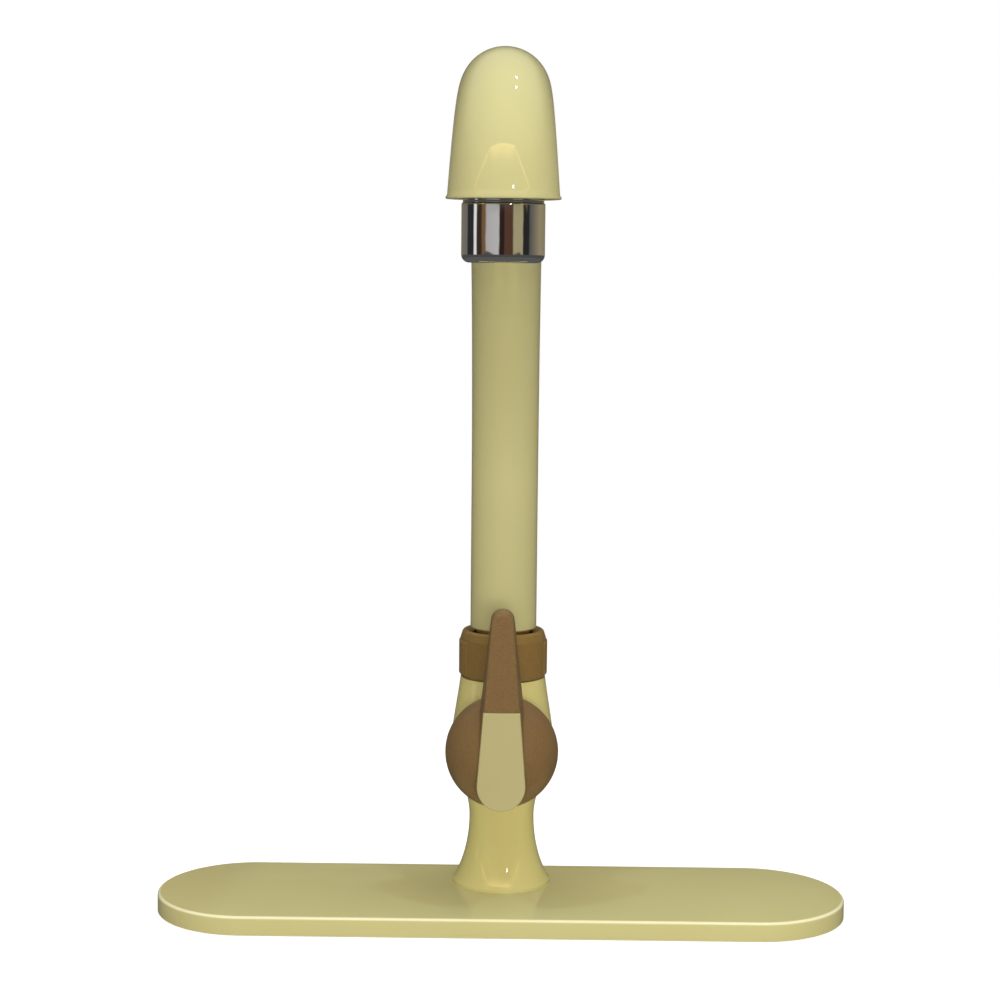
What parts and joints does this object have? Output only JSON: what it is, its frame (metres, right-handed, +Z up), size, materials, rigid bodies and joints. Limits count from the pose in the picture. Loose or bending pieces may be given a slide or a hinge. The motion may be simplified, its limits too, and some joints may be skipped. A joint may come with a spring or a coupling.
{
  "type": "kitchen tap",
  "caption": "Single-lever kitchen tap on a long round-ended deck plate, with a trumpet-footed body, ball-hub lever at the front, grip collar, high swivelling bell spout and aerator.",
  "frame": {"origin": "on the deck surface, on the common axis of body and spout, at the mouth of the fixing stud's hole", "axes": "+Z up along the spout's swivel axis, -Y to the front where the lever and the outlet are, +X along the deck plate to the user's right"},
  "size_m": [0.263, 0.2214, 0.3126],
  "materials": {
    "cream_enamel": "glossy pale yellow enamel on cast metal",
    "cream_spout_enamel": "glossy pale yellow enamel on metal tube",
    "cream_plastic": "glossy pale yellow moulding",
    "brown_gloss": "glossy tan brown moulding",
    "chrome_plate": "bright chrome plate",
    "raw_brass": "machined brass",
    "steel": "plain stainless steel",
    "ceramic": "polished ceramic",
    "white_plastic": "moulded white plastic",
    "tray_plastic": "moulded dark plastic",
    "soft_rubber": "black rubber"
  },
  "bodies": {
    "mixer_body": {"deck_plate": "cream_enamel", "plate_tray": "tray_plastic", "plate_gasket": "soft_rubber", "body_casting": "cream_enamel", "foot_seal": "soft_rubber", "collar_nut": "brown_gloss", "slip_washer": "white_plastic", "cartridge_base": "white_plastic", "port_seals": "soft_rubber", "fixed_disc": "ceramic", "cartridge_case": "white_plastic", "cartridge_nut": "raw_brass"},
    "spout": {"spout_tube": "cream_spout_enamel", "spout_neck": "raw_brass", "spout_seals": "soft_rubber", "retaining_ring": "steel", "aerator_nipple": "raw_brass", "aerator_washer": "soft_rubber", "aerator_housing": "chrome_plate", "aerator_screen": "white_plastic", "flow_former": "white_plastic"},
    "turret": {"turret": "white_plastic", "turret_seal": "soft_rubber", "pivot_pin": "steel"},
    "control_disc": {"moving_disc": "ceramic", "disc_carrier": "white_plastic"},
    "lever": {"stem": "raw_brass", "lever_shell": "brown_gloss", "lever_inlay": "cream_plastic", "lever_screw": "steel"}
  },
  "joints": [
    {"name": "spout_swivel", "type": "hinge", "parent": "mixer_body", "child": "spout", "pos_m": [0, 0, 0.1073], "axis": [0, 0, 1], "continuous": true},
    {"name": "lever_turn", "type": "hinge", "parent": "mixer_body", "child": "turret", "pos_m": [0, -0.024, 0.064], "axis": [0, -1, 0], "range_deg": [-45, 45]},
    {"name": "lever_tilt", "type": "hinge", "parent": "turret", "child": "lever", "pos_m": [0, -0.024, 0.064], "axis": [1, 0, 0], "range_deg": [0, 18]},
    {"name": "disc_slide", "type": "slide", "parent": "turret", "child": "control_disc", "axis": [0, 0, 1], "range_m": [0, 0.00278]}
  ],
  "couplings": [
    {"joint": "disc_slide", "follows": "lever_tilt", "m_per_rad": 0.0088527}
  ]
}
